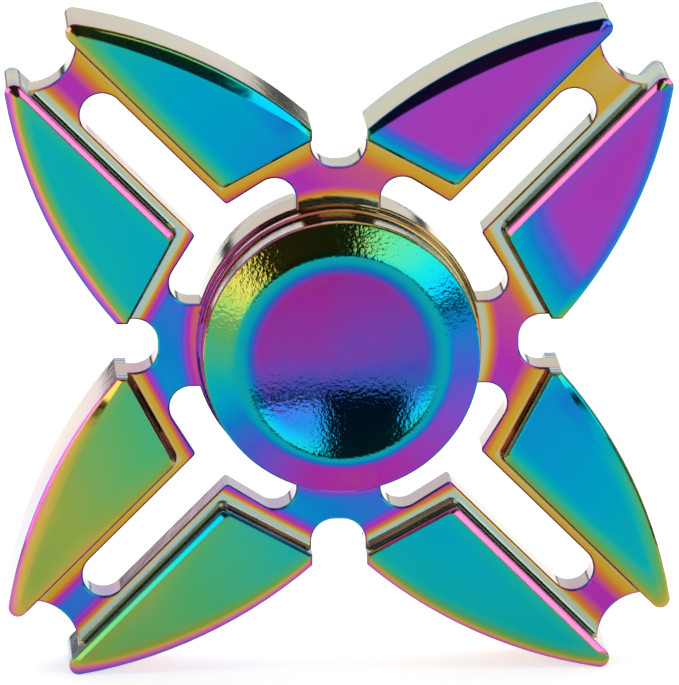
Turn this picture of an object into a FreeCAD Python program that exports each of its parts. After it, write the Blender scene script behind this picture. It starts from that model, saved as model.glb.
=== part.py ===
"""Four-armed metal fidget spinner on a 608 ball bearing, standing on two claw tips.

Frame: origin at the middle of the bearing, +Z up, spin axis along Y, front face towards -Y.
Every piece is modelled flat, with the spin axis along its own Z, and then stood upright.
"""
import FreeCAD, Part
import math
import os
import Sketcher

Vector = FreeCAD.Vector
DOCUMENT = FreeCAD.newDocument("fidget_spinner")
UPRIGHT = FreeCAD.Rotation(Vector(1, 0, 0), 90)
REAR_UPRIGHT = FreeCAD.Rotation(Vector(0, 0, 1), 180) * UPRIGHT
POLES_ASIDE = FreeCAD.Rotation(Vector(0, 1, 0), -90)
ARM_COUNT = 4
BALL_COUNT = 7
TINY = 0.001
TIP_WAY = Vector(1, 0.25, 0)  # from the centre of a claw's tip to the middle of its rounding

# ---------------------------------------------------------------- driving sizes, in millimetres
DRIVING_SIZES = [
    # claw casting: one arm is two claws side by side, joined by a bridge near their tips
    ("body_thickness", 9.0, "over the raised pads of both faces"),
    ("web_thickness", 4.2, "flange, bridges and necks"),
    ("tip_reach", 39.45, "centre to the end of a claw tip, along the arm"),
    ("tip_radius", 0.9, "rounding of a claw tip"),
    ("slot_width", 4.1, "gap between the two claws of one arm"),
    ("slot_end_reach", 33.05, "centre to the outer end of the slot"),
    ("bridge_reach", 36.3, "centre to the outer edge of the bridge"),
    ("bridge_notch_radius", 4.5, "hollow outer edge of the bridge"),
    ("claw_inner_reach", 16.8, "centre to the inner corner of a claw, along the arm"),
    ("claw_inner_slant", 13.0, "degrees between a claw's inner edge and the square across the arm"),
    ("claw_inner_round", 0.35, "rounding of that corner"),
    ("outer_edge_radius", 44.5, "long curved outer edge of a claw"),
    ("shoulder_reach", 20.75, "centre to the claw's outer corner, along the neck"),
    ("shoulder_round", 0.5, "rounding of that corner"),
    ("notch_reach", 16.85, "centre to the floor of the notch between two arms"),
    ("notch_width", 5.1, "width of that notch"),
    ("notch_round", 2.2, "rounding of its floor"),
    ("neck_width", 7.9, "neck that carries two neighbouring claws"),
    ("neck_round", 2.0, "rounding between neck and claw"),
    ("edge_round", 0.15, "broken edge of the flange"),
    # raised pad on each claw
    ("pad_margin", 1.05, "flange left beside the slot"),
    ("pad_inner_reach", 18.45, "centre to the inner corner of a pad, along the arm"),
    ("pad_inner_slant", 16.6, "degrees between a pad's inner edge and the square across the arm"),
    ("pad_inner_round", 0.7, "rounding of that corner"),
    ("bevel_height", 0.34, "height of the bevel around a pad's top"),
    ("slot_bevel", 0.6, "width of the bevel on the slot side"),
    ("inner_bevel", 0.25, "width of the bevel on the inner and notch sides"),
    ("outer_bevel", 0.5, "width of the bevel at the ends of the outer side"),
    ("flat_tip_radius", 0.3, "rounding of the pad's top at the tip"),
    ("tip_bevel_share", 1.4, "of the outer bevel, width of the bevel beyond the tip's rounding"),
    ("flat_edge_radius", 75.0, "flatter curve where the outer bevel meets the pad's top"),
    ("pad_root_round", 0.3, "fillet where a pad rises from the flange"),
    # hub
    ("hub_wall", 2.2, "bearing ring, from the bearing to its outside"),
    ("hub_height", 8.4, "bearing ring, face to face"),
    ("hub_step", 0.3, "web-thick rim around the bearing ring, beyond its outside"),
    ("hub_root_round", 0.12, "fillet between that rim, the necks and the bearing ring"),
    ("hub_edge", 0.2, "chamfer of the bearing ring's edges"),
    # 608 bearing
    ("bearing_outer_radius", 11.0, "608 outside radius"),
    ("bearing_bore_radius", 4.0, "608 bore radius"),
    ("bearing_width", 7.0, "608 width"),
    ("race_chamfer", 0.3, "chamfer of the race edges"),
    ("ball_radius", 1.984, "5/32 inch balls"),
    ("pitch_radius", 7.5, "centre of the bearing to the centre of a ball"),
    ("ball_play", 0.012, "ball to the floor of each groove"),
    ("groove_radius", 2.06, "cross-section of both ball grooves"),
    ("race_land", 0.62, "height of a race's land above the floor of its groove"),
    ("race_wall", 1.4, "outer race outside its recesses for the shields"),
    ("shield_seat_depth", 0.9, "depth of that recess"),
    ("snap_groove_depth", 0.25, "groove that holds the snap ring"),
    ("snap_ring_thickness", 0.3, "snap ring, along the axis"),
    ("snap_ring_width", 0.55, "snap ring, across"),
    ("snap_ring_gap", 24.0, "degrees of the snap ring's opening"),
    ("shield_thickness", 0.25, "pressed sheet shield"),
    ("shield_play", 0.25, "shield to the inner race"),
    ("fit_gap", 0.02, "running or sliding clearance, radial"),
    ("shield_step_gap", 0.2, "snap ring to the raised middle of the shield"),
    ("cage_sheet", 0.35, "pressed ribbon of the ball cage"),
    ("cage_band", 1.5, "width of that ribbon"),
    ("cage_play", 0.07, "ball to its pocket in the cage"),
    ("rivet_head_share", 0.588, "of the flat sheet between two ball pockets, head across"),
    ("rivet_shank_share", 0.6, "of a rivet's head, shank across"),
    ("rivet_head_height", 0.2, "height of that head"),
    # finger caps and the stud between them
    ("cap_inset", 0.32, "outside of a finger cap, inside the bearing ring's outside"),
    ("cap_gap", 0.4, "cap to the face of the bearing ring"),
    ("cap_edge_height", 3.3, "straight side of a cap"),
    ("crest_radius", 9.6, "middle of the flat ridge between the cap's rim and its dish"),
    ("crest_width", 0.6, "width of that ridge before its edges are rounded"),
    ("crest_rise", 1.1, "ridge above the top of the straight side"),
    ("cap_edge_round", 0.35, "rounding of the cap's outer edge"),
    ("cap_under_chamfer", 0.3, "chamfer of its lower edge"),
    ("dish_radius", 24.0, "ball radius of the finger dish"),
    ("crest_round", 1.0, "rounding of the ridge's two edges"),
    ("boss_radius", 5.6, "boss that seats on the inner race"),
    ("stem_spare", 0.2, "gap from a stem's end to the middle of the bearing"),
    ("stud_radius", 2.5, "M5 stud that draws the caps together"),
    ("stud_length", 9.4, "stud, end to end"),
    ("stud_hole_spare", 0.4, "room past each end of the stud"),
    ("stud_chamfer", 0.4, "chamfer of its ends"),
    ("hex_radius", 1.44, "across corners of its 2.5 mm hexagon socket, halved"),
    ("hex_depth", 2.2, "depth of that socket"),
]

# sizes that follow from the driving ones
DERIVED_SIZES = [
    ("half_web", "=web_thickness / 2"),
    ("half_web_below", "=-half_web"),
    ("web_break", "=half_web - edge_round"),
    ("web_break_below", "=-web_break"),
    ("half_body", "=body_thickness / 2"),
    ("pad_shoulder", "=half_body - bevel_height"),
    ("pad_break", "=pad_shoulder + edge_round"),
    ("half_hub", "=hub_height / 2"),
    ("half_hub_below", "=-half_hub"),
    ("hub_radius", "=bearing_outer_radius + hub_wall"),
    ("hub_rim_radius", "=hub_radius + hub_step"),
    ("hub_rim_edge", "=hub_rim_radius - edge_round"),
    ("cap_radius", "=hub_radius - cap_inset"),
    ("shield_seat_radius", "=bearing_outer_radius - race_wall"),
    ("half_race", "=bearing_width / 2"),
    ("race_chamfer_height", "=half_race - race_chamfer"),
    ("outer_groove_floor", "=pitch_radius + ball_radius + ball_play"),
    ("outer_groove_centre", "=outer_groove_floor - groove_radius"),
    ("outer_land_radius", "=outer_groove_floor - race_land"),
    ("outer_edge_inset", "=bearing_outer_radius - race_chamfer"),
    ("inner_groove_floor", "=pitch_radius - ball_radius - ball_play"),
    ("inner_groove_centre", "=inner_groove_floor + groove_radius"),
    ("inner_land_radius", "=inner_groove_floor + race_land"),
    ("bore_edge_inset", "=bearing_bore_radius + race_chamfer"),
    ("land_edge_inset", "=inner_land_radius - race_chamfer"),
    ("seat_height", "=half_race - shield_seat_depth"),
    ("shield_top", "=seat_height + shield_thickness"),
    ("snap_top", "=shield_top + snap_ring_thickness"),
    ("snap_groove_radius", "=shield_seat_radius + snap_groove_depth"),
    ("snap_inner_radius", "=snap_groove_radius - snap_ring_width"),
    ("shield_rim_radius", "=shield_seat_radius - fit_gap"),
    ("shield_step_radius", "=snap_inner_radius - shield_step_gap"),
    ("shield_hole_radius", "=inner_land_radius + shield_play"),
    ("shield_raised", "=seat_height + snap_ring_thickness"),
    ("shield_raised_top", "=shield_raised + shield_thickness"),
    ("shield_bend_radius", "=shield_step_radius - shield_thickness"),
    ("snap_groove_top", "=snap_top + fit_gap"),
    ("past_race", "=half_race + race_chamfer"),
    ("race_bottom", "=-half_race"),
    ("race_chamfer_bottom", "=-race_chamfer_height"),
    ("seat_height_below", "=-seat_height"),
    ("shield_top_below", "=-shield_top"),
    ("snap_groove_top_below", "=-snap_groove_top"),
    ("past_race_below", "=-past_race"),
    ("cage_inner_radius", "=pitch_radius - cage_band / 2"),
    ("cage_outer_radius", "=pitch_radius + cage_band / 2"),
    ("pocket_radius", "=ball_radius + cage_play"),
    ("pocket_outer_radius", "=pocket_radius + cage_sheet"),
    ("pocket_reach", "=1.2 * pocket_outer_radius"),
    ("ball_spacing", f"=2 * pitch_radius * sin(180 / {BALL_COUNT})"),
    ("pocket_flat", "=ball_spacing - 2 * pocket_outer_radius"),
    ("rivet_head_radius", "=rivet_head_share * pocket_flat / 2"),
    ("rivet_radius", "=rivet_shank_share * rivet_head_radius"),
    ("stem_radius", "=bearing_bore_radius - fit_gap"),
    ("stem_length", "=half_race - stem_spare"),
    ("stem_end", "=half_race - stem_length"),
    ("cap_underside", "=half_hub + cap_gap"),
    ("cap_chamfer_height", "=cap_underside + cap_under_chamfer"),
    ("cap_chamfer_radius", "=cap_radius - cap_under_chamfer"),
    ("cap_edge_top", "=cap_underside + cap_edge_height"),
    ("crest_height", "=cap_edge_top + crest_rise"),
    ("crest_outer_radius", "=crest_radius + crest_width / 2"),
    ("crest_inner_radius", "=crest_radius - crest_width / 2"),
    ("stud_half", "=stud_length / 2"),
    ("stud_hole_end", "=stud_half + stud_hole_spare"),
    ("stud_bottom", "=-stud_half"),
    ("stud_chamfer_top", "=stud_half - stud_chamfer"),
    ("stud_chamfer_bottom", "=-stud_chamfer_top"),
    ("stud_end_radius", "=stud_radius - stud_chamfer"),
    ("dish_centre_height", "=crest_height + sqrt(dish_radius ^ 2 - crest_inner_radius ^ 2)"),
    ("axis_line", "=0 * cap_radius"),
    ("bore_cut", "=hub_height + body_thickness"),
]

SHEET = DOCUMENT.addObject("Spreadsheet::Sheet", "sizes")


def fill_sheet():
    """Write every driving size, its meaning and the sizes that follow from them."""
    for row, (alias, value, meaning) in enumerate(DRIVING_SIZES, start=1):
        SHEET.set(f"A{row}", str(value))
        SHEET.setAlias(f"A{row}", alias)
        SHEET.set(f"B{row}", meaning)
    for row, (alias, formula) in enumerate(DERIVED_SIZES, start=1):
        SHEET.set(f"D{row}", formula)
        SHEET.setAlias(f"D{row}", alias)
    DOCUMENT.recompute()


def size(alias):
    return float(SHEET.get(alias))


def bind(thing, **properties):
    """Bind properties of an object to expressions in the sheet's aliases."""
    for name, expression in properties.items():
        thing.setExpression(name, expression)


def on_sheet(alias):
    return f"{SHEET.Name}.{alias}"


# ---------------------------------------------------------------- small modelling helpers
def new_body(label):
    body = DOCUMENT.addObject("PartDesign::Body", label)
    body.Label = label
    return body


def origin_part(body, role):
    return [feature for feature in body.Origin.OriginFeatures if feature.Role == role][0]


def new_sketch(body, name, plane="XY_Plane"):
    sketch = body.newObject("Sketcher::SketchObject", name)
    sketch.AttachmentSupport = [(origin_part(body, plane), "")]
    sketch.MapMode = "FlatFace"
    return sketch


def section_sketch(body, name, corners):
    """Closed polygon beside the spin axis; each corner is (radius alias, height alias)."""
    sketch = new_sketch(body, name, "XZ_Plane")
    places = [Vector(size(radius), size(height), 0) for radius, height in corners]
    count = len(corners)
    for index in range(count):
        sketch.addGeometry(Part.LineSegment(places[index], places[(index + 1) % count]), False)
    for index, (radius, height) in enumerate(corners):
        sketch.addConstraint(Sketcher.Constraint("Coincident", index, 2, (index + 1) % count, 1))
        across = sketch.addConstraint(
            Sketcher.Constraint("DistanceX", -1, 1, index, 1, size(radius)))
        along = sketch.addConstraint(
            Sketcher.Constraint("DistanceY", -1, 1, index, 1, size(height)))
        sketch.setExpression(f"Constraints[{across}]", on_sheet(radius))
        sketch.setExpression(f"Constraints[{along}]", on_sheet(height))
    return sketch


def circle_sketch(body, name, radii, plane="XY_Plane"):
    """Circles about the origin, one for each radius alias."""
    sketch = new_sketch(body, name, plane)
    for index, radius in enumerate(radii):
        circle = Part.Circle(Vector(0, 0, 0), Vector(0, 0, 1), size(radius))
        sketch.addGeometry(circle, False)
        sketch.addConstraint(Sketcher.Constraint("Coincident", index, 3, -1, 1))
        measure = sketch.addConstraint(Sketcher.Constraint("Radius", index, size(radius)))
        sketch.setExpression(f"Constraints[{measure}]", on_sheet(radius))
    return sketch


def outline_sketch(body, name, path):
    """Closed outline: a start point, then (end,) for a line or (middle, end) for an arc."""
    sketch = new_sketch(body, name)
    start = path[0]
    here = start
    for step in path[1:]:
        end = step[-1]
        if len(step) == 2:
            edge = Part.Arc(here, step[0], end)
        else:
            edge = Part.LineSegment(here, end)
        index = sketch.addGeometry(edge, False)
        sketch.addConstraint(Sketcher.Constraint("Block", index))
        here = end
    return sketch


def revolve(body, name, corners, cut=False):
    """Turn a section polygon about the spin axis, adding or removing metal."""
    sketch = section_sketch(body, f"{name}_section", corners)
    kind = "PartDesign::Groove" if cut else "PartDesign::Revolution"
    feature = body.newObject(kind, name)
    feature.Profile = sketch
    feature.ReferenceAxis = (sketch, ["V_Axis"])
    feature.Angle = 360
    body.Tip = feature
    return feature


def groove_ring(body, name, centre):
    """Ball groove: a circle beside the axis, turned about it."""
    sketch = new_sketch(body, f"{name}_section", "XZ_Plane")
    place = Vector(size(centre), 0, 0)
    sketch.addGeometry(Part.Circle(place, Vector(0, 0, 1), size("groove_radius")), False)
    sketch.addConstraint(Sketcher.Constraint("PointOnObject", 0, 3, -1))
    across = sketch.addConstraint(Sketcher.Constraint("DistanceX", -1, 1, 0, 3, place.x))
    measure = sketch.addConstraint(Sketcher.Constraint("Radius", 0, size("groove_radius")))
    sketch.setExpression(f"Constraints[{across}]", on_sheet(centre))
    sketch.setExpression(f"Constraints[{measure}]", on_sheet("groove_radius"))
    feature = body.newObject("PartDesign::Groove", name)
    feature.Profile = sketch
    feature.ReferenceAxis = (sketch, ["V_Axis"])
    feature.Angle = 360
    body.Tip = feature
    return feature


def pad(body, name, sketch, length):
    feature = body.newObject("PartDesign::Pad", name)
    feature.Profile = sketch
    bind(feature, Length=on_sheet(length))
    body.Tip = feature
    return feature


def dress(body, kind, name, base, edges, **sizes):
    """Fillet or chamfer the named edges of a feature."""
    feature = body.newObject(f"PartDesign::{kind}", name)
    feature.Base = (base, edges)
    bind(feature, **{key: on_sheet(alias) for key, alias in sizes.items()})
    body.Tip = feature
    DOCUMENT.recompute()
    return feature


def edges_between(feature, wanted):
    """Names of the edges whose two faces and middle point satisfy the test."""
    names = []
    shape = feature.Shape
    for number, edge in enumerate(shape.Edges, start=1):
        faces = shape.ancestorsOfType(edge, Part.Face)
        middle = edge.valueAt((edge.FirstParameter + edge.LastParameter) / 2)
        if len(faces) == 2 and wanted(faces, middle):
            names.append(f"Edge{number}")
    return names


def circles_at(feature, radius, height):
    """Names of the circular edges about the spin axis with this radius, at both heights."""
    names = []
    for number, edge in enumerate(feature.Shape.Edges, start=1):
        middle = edge.valueAt((edge.FirstParameter + edge.LastParameter) / 2)
        at_radius = abs(math.hypot(middle.x, middle.y) - radius) < TINY
        if at_radius and abs(abs(middle.z) - height) < TINY:
            names.append(f"Edge{number}")
    return names


# ---------------------------------------------------------------- plane geometry of one claw
# Arm frame: X along the arm, Y across it towards this claw; the neck lies at 45 degrees.
def from_neck(along, across):
    """Point given along the neck's centre line and across it towards the arm."""
    half = math.sqrt(0.5)
    return Vector((along + across) * half, (along - across) * half, 0)


def meet(point, direction, other_point, other_direction):
    """Where two lines cross."""
    between = other_point - point
    turn = direction.x * other_direction.y - direction.y * other_direction.x
    travel = (between.x * other_direction.y - between.y * other_direction.x) / turn
    return point + direction * travel


def rounding(before, corner, after, radius):
    """Start, middle and end of the arc that rounds a corner between two straight edges."""
    back = (before - corner).normalize()
    ahead = (after - corner).normalize()
    half_angle = back.getAngle(ahead) / 2
    reach = radius / math.tan(half_angle)
    centre = corner + (back + ahead).normalize() * (radius / math.sin(half_angle))
    middle = centre + (corner - centre).normalize() * radius
    return corner + back * reach, middle, corner + ahead * reach


def circle_centre(first, first_radius, second, second_radius):
    """Centre on the slot's side at the given distances from two points."""
    gap = second - first
    span = gap.Length
    along = (first_radius ** 2 - second_radius ** 2 + span ** 2) / (2 * span)
    aside = math.sqrt(first_radius ** 2 - along ** 2)
    way = gap.normalize()
    return first + way * along + Vector(way.y, -way.x, 0) * aside


def on_circle(centre, radius, toward):
    return centre + (toward - centre).normalize() * radius


def outer_side(tip_centre, tip_round, corner, curve_radius):
    """Tip arc from the slot side, then the long outer edge to the corner by the notch."""
    centre = circle_centre(corner, curve_radius, tip_centre, curve_radius - tip_round)
    tip_start = tip_centre + Vector(0, -tip_round, 0)
    tip_end = on_circle(centre, curve_radius, tip_centre)
    tip_middle = on_circle(tip_centre, tip_round, tip_centre + TIP_WAY)
    edge_middle = on_circle(centre, curve_radius, (tip_end + corner) * 0.5)
    return tip_start, tip_middle, tip_end, edge_middle


def slanted(angle_alias):
    """Direction of a claw's or pad's inner edge, away from the slot."""
    angle = math.radians(size(angle_alias))
    return Vector(-math.sin(angle), math.cos(angle), 0)


def pad_edge_offset():
    return size("slot_width") / 2 + size("pad_margin")


def claw_tip_centre():
    radius = size("tip_radius")
    return Vector(size("tip_reach") - radius, pad_edge_offset() + radius, 0)


def shoulder_corner():
    return from_neck(size("shoulder_reach"), size("notch_width") / 2)


def web_outline():
    """One claw's flange with its half of the neck and of the bridge."""
    half_slot = size("slot_width") / 2
    half_neck = size("neck_width") / 2
    half_notch = size("notch_width") / 2
    notch_round = size("notch_round")
    bridge = size("bridge_reach")
    bridge_round = size("bridge_notch_radius")
    bridge_centre = Vector(bridge + bridge_round, 0, 0)
    tip = claw_tip_centre()
    corner = shoulder_corner()
    tip_start, tip_middle, tip_end, edge_middle = outer_side(
        tip, size("tip_radius"), corner, size("outer_edge_radius"))
    side = tip_start.y
    bridge_end = Vector(bridge_centre.x - math.sqrt(bridge_round ** 2 - side ** 2), side, 0)
    bridge_middle = on_circle(bridge_centre, bridge_round, Vector(bridge, side / 2, 0))
    neck_line = from_neck(1, 0)
    claw_corner = Vector(size("claw_inner_reach"), half_slot, 0)
    neck_corner = meet(from_neck(0, half_neck), neck_line, claw_corner, slanted("claw_inner_slant"))
    inside_hub = (size("bearing_outer_radius") + size("hub_radius")) / 2 - size("hub_edge")
    neck_foot = from_neck(inside_hub, half_neck)
    neck_in, neck_middle, neck_out = rounding(
        neck_foot, neck_corner, claw_corner, size("neck_round"))
    slot_start = Vector(size("slot_end_reach") - half_slot, half_slot, 0)
    corner_in, corner_middle, corner_out = rounding(
        neck_corner, claw_corner, slot_start, size("claw_inner_round"))
    floor_start = from_neck(size("notch_reach") + notch_round, half_notch)
    floor_corner = from_neck(size("notch_reach"), half_notch)
    floor_middle_line = from_neck(size("notch_reach"), 0)
    floor_in, floor_middle, floor_out = rounding(
        floor_start, floor_corner, floor_middle_line, notch_round)
    slot_turn = Vector(size("slot_end_reach") - half_slot, 0, 0)
    slot_middle = on_circle(slot_turn, half_slot, slot_turn + Vector(1, 1, 0))
    return [
        Vector(bridge, 0, 0),
        (bridge_middle, bridge_end),
        (tip_start,),
        (tip_middle, tip_end),
        (edge_middle, corner),
        (floor_in,),
        (floor_middle, floor_out),
        (floor_middle_line,),
        (from_neck(inside_hub, 0),),
        (neck_foot,),
        (neck_in,),
        (neck_middle, neck_out),
        (corner_in,),
        (corner_middle, corner_out),
        (slot_start,),
        (slot_middle, Vector(size("slot_end_reach"), 0, 0)),
        (Vector(bridge, 0, 0),),
    ]


def pad_outline(slot_inset, inner_inset, outer_inset, tip_round, curve_radius):
    """Outline of a raised pad, drawn in from the claw's walls by the given insets."""
    side = pad_edge_offset() + slot_inset
    tip_pull = outer_inset * size("tip_bevel_share")
    tip = Vector(size("tip_reach") - size("tip_radius") - tip_pull, side + tip_round, 0)
    half_notch = size("notch_width") / 2 + inner_inset
    corner = from_neck(size("shoulder_reach") - outer_inset, half_notch)
    tip_start, tip_middle, tip_end, edge_middle = outer_side(tip, tip_round, corner, curve_radius)
    slant = slanted("pad_inner_slant")
    square = Vector(slant.y, -slant.x, 0)
    inner_start = Vector(size("pad_inner_reach"), pad_edge_offset(), 0) + square * inner_inset
    inner_corner = meet(inner_start, slant, Vector(0, side, 0), Vector(1, 0, 0))
    notch_corner = meet(inner_start, slant, from_neck(0, half_notch), from_neck(1, 0))
    corner_round = size("pad_inner_round")
    inner_in, inner_middle, inner_out = rounding(
        notch_corner, inner_corner, tip_start, corner_round)
    return [
        tip_start,
        (tip_middle, tip_end),
        (edge_middle, corner),
        (notch_corner,),
        (inner_in,),
        (inner_middle, inner_out),
        (tip_start,),
    ]


# ---------------------------------------------------------------- spinner body
def lies_at(face, height):
    box = face.BoundBox
    return abs(box.ZMin - height) < TINY and abs(box.ZMax - height) < TINY


def rises_from_flange(faces, middle):
    """An edge where a pad's wall meets the top of the flange."""
    level = size("half_web")
    flat = [face for face in faces if lies_at(face, level)]
    tall = [face for face in faces if face.BoundBox.ZMax > level + TINY]
    return len(flat) == 1 and len(tall) == 1


def rims_flange(faces, middle):
    """An outer edge of the flange, away from the planes where copies of the claw join."""
    level = size("half_web")
    flat = [face for face in faces if lies_at(face, level)]
    side = [face for face in faces if face.BoundBox.ZMin < level - TINY]
    joined = abs(middle.y) < TINY or abs(middle.x - middle.y) < TINY
    outside = math.hypot(middle.x, middle.y) > size("hub_radius") - size("hub_edge")
    low = all(face.BoundBox.ZMax < level + TINY for face in side)
    return len(flat) == 1 and len(side) == 1 and low and outside and not joined


def claw_quarter_shape(body):
    """One claw above the middle plane: flange, wall and bevelled pad, with its edges broken."""
    pad(body, "flange", outline_sketch(body, "flange_outline", web_outline()), "half_web")
    wall_path = pad_outline(0, 0, 0, size("tip_radius"), size("outer_edge_radius"))
    pad(body, "claw_wall", outline_sketch(body, "wall_outline", wall_path), "pad_shoulder")
    shoulder = outline_sketch(body, "shoulder_outline", wall_path)
    bind(shoulder, **{"AttachmentOffset.Base.z": on_sheet("pad_shoulder")})
    broken = size("edge_round")
    break_path = pad_outline(broken, broken, broken, size("tip_radius") - broken,
                             size("outer_edge_radius") - broken)
    broken_edge = outline_sketch(body, "broken_edge_outline", break_path)
    bind(broken_edge, **{"AttachmentOffset.Base.z": on_sheet("pad_break")})
    flat_path = pad_outline(size("slot_bevel"), size("inner_bevel"), size("outer_bevel"),
                            size("flat_tip_radius"), size("flat_edge_radius"))
    flat = outline_sketch(body, "flat_outline", flat_path)
    bind(flat, **{"AttachmentOffset.Base.z": on_sheet("half_body")})
    bevel = body.newObject("PartDesign::AdditiveLoft", "pad_bevel")
    bevel.Profile = shoulder
    bevel.Sections = [broken_edge, flat]
    bevel.Ruled = True
    body.Tip = bevel
    DOCUMENT.recompute()
    rims = edges_between(bevel, rims_flange)
    broken_rims = dress(body, "Chamfer", "flange_rims", bevel, rims, Size="edge_round")
    roots = edges_between(broken_rims, rises_from_flange)
    dress(body, "Chamfer", "pad_roots", broken_rims, roots, Size="pad_root_round")


def mirror_and_turn(body):
    """Copy the half-thick claw to both faces, both sides of the neck and all the arms."""
    pattern = body.newObject("PartDesign::MultiTransform", "all_claws")
    steps = []
    for name, plane in (("other_face", "XY_Plane"), ("other_claw", "XZ_Plane")):
        mirrored = body.newObject("PartDesign::Mirrored", name)
        mirrored.MirrorPlane = (origin_part(body, plane), [""])
        steps.append(mirrored)
    turned = body.newObject("PartDesign::PolarPattern", "arms")
    turned.Axis = (origin_part(body, "Z_Axis"), [""])
    turned.Angle = 360
    turned.Occurrences = ARM_COUNT
    steps.append(turned)
    pattern.TransformMode = "Whole shape"
    pattern.Transformations = steps
    body.Tip = pattern
    DOCUMENT.recompute()


def spinner_body():
    """Zinc casting: bearing ring, four necks and eight claws with a pad on each face."""
    body = new_body("spinner_body")
    claw_quarter_shape(body)
    mirror_and_turn(body)
    revolve(body, "bearing_ring", [
        ("bearing_outer_radius", "half_hub_below"),
        ("hub_radius", "half_hub_below"),
        ("hub_radius", "half_web_below"),
        ("hub_rim_edge", "half_web_below"),
        ("hub_rim_radius", "web_break_below"),
        ("hub_rim_radius", "web_break"),
        ("hub_rim_edge", "half_web"),
        ("hub_radius", "half_web"),
        ("hub_radius", "half_hub"),
        ("bearing_outer_radius", "half_hub"),
    ])
    bore = body.newObject("PartDesign::Pocket", "bearing_bore")
    bore.Profile = circle_sketch(body, "bore_outline", ["bearing_outer_radius"])
    bore.Midplane = True
    bind(bore, Length=on_sheet("bore_cut"))
    body.Tip = bore
    DOCUMENT.recompute()
    necks = circles_at(bore, size("hub_radius"), size("half_web"))
    rooted = dress(body, "Fillet", "neck_roots", bore, necks, Radius="hub_root_round")
    rims = circles_at(rooted, size("hub_radius"), size("half_hub"))
    rims += circles_at(rooted, size("bearing_outer_radius"), size("half_hub"))
    dress(body, "Chamfer", "ring_edges", rooted, rims, Size="hub_edge")
    half_turn = 360 / ARM_COUNT / 2
    body.Placement = FreeCAD.Placement(
        Vector(0, 0, 0), UPRIGHT * FreeCAD.Rotation(Vector(0, 0, 1), half_turn))
    return body


# ---------------------------------------------------------------- bearing
def outer_race():
    """Ground steel ring with a ball groove and a recess for a shield at each end."""
    body = new_body("bearing_outer_race")
    revolve(body, "ring", [
        ("outer_land_radius", "race_bottom"),
        ("outer_edge_inset", "race_bottom"),
        ("bearing_outer_radius", "race_chamfer_bottom"),
        ("bearing_outer_radius", "race_chamfer_height"),
        ("outer_edge_inset", "half_race"),
        ("outer_land_radius", "half_race"),
    ])
    groove_ring(body, "ball_groove", "outer_groove_centre")
    for end, sign in (("front", ""), ("rear", "_below")):
        revolve(body, f"{end}_shield_seat", [
            ("pitch_radius", f"seat_height{sign}"),
            ("shield_seat_radius", f"seat_height{sign}"),
            ("shield_seat_radius", f"past_race{sign}"),
            ("pitch_radius", f"past_race{sign}"),
        ], cut=True)
        revolve(body, f"{end}_snap_groove", [
            ("pitch_radius", f"shield_top{sign}"),
            ("snap_groove_radius", f"shield_top{sign}"),
            ("snap_groove_radius", f"snap_groove_top{sign}"),
            ("pitch_radius", f"snap_groove_top{sign}"),
        ], cut=True)
    body.Placement = FreeCAD.Placement(Vector(0, 0, 0), UPRIGHT)
    return body


def inner_race():
    """Ground steel ring with its ball groove outside and the caps' stems in its bore."""
    body = new_body("bearing_inner_race")
    revolve(body, "ring", [
        ("bore_edge_inset", "race_bottom"),
        ("land_edge_inset", "race_bottom"),
        ("inner_land_radius", "race_chamfer_bottom"),
        ("inner_land_radius", "race_chamfer_height"),
        ("land_edge_inset", "half_race"),
        ("bore_edge_inset", "half_race"),
        ("bearing_bore_radius", "race_chamfer_height"),
        ("bearing_bore_radius", "race_chamfer_bottom"),
    ])
    groove_ring(body, "ball_groove", "inner_groove_centre")
    body.Placement = FreeCAD.Placement(Vector(0, 0, 0), UPRIGHT)
    return body


def around_pitch_circle(step, fraction=0.0):
    """Place on the pitch circle, counted in balls from the top."""
    angle = 2 * math.pi * (step + fraction) / BALL_COUNT
    radius = size("pitch_radius")
    return Vector(radius * math.sin(angle), radius * math.cos(angle), 0)


def balls():
    pieces = []
    for step in range(BALL_COUNT):
        ball = DOCUMENT.addObject("Part::Sphere", f"ball_{step + 1}")
        bind(ball, Radius=on_sheet("ball_radius"))
        ball.Placement = FreeCAD.Placement(UPRIGHT * around_pitch_circle(step), UPRIGHT)
        pieces.append(ball)
    return pieces


def cylinder(name, radius, height, base, place=Vector(0, 0, 0)):
    """Part cylinder along the spin axis, its sizes given as sheet expressions."""
    piece = DOCUMENT.addObject("Part::Cylinder", name)
    bind(piece, Radius=radius, Height=height)
    piece.Placement = FreeCAD.Placement(place + Vector(0, 0, base), FreeCAD.Rotation())
    return piece


def spheres(name, radius):
    pieces = []
    for step in range(BALL_COUNT):
        sphere = DOCUMENT.addObject("Part::Sphere", f"{name}_{step + 1}")
        bind(sphere, Radius=on_sheet(radius))
        sphere.Placement = FreeCAD.Placement(around_pitch_circle(step), FreeCAD.Rotation())
        pieces.append(sphere)
    return pieces


def joined(name, pieces):
    fuse = DOCUMENT.addObject("Part::MultiFuse", name)
    fuse.Shapes = pieces
    return fuse


def combined(kind, name, base, tool):
    result = DOCUMENT.addObject(f"Part::{kind}", name)
    result.Base = base
    result.Tool = tool
    return result


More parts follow.
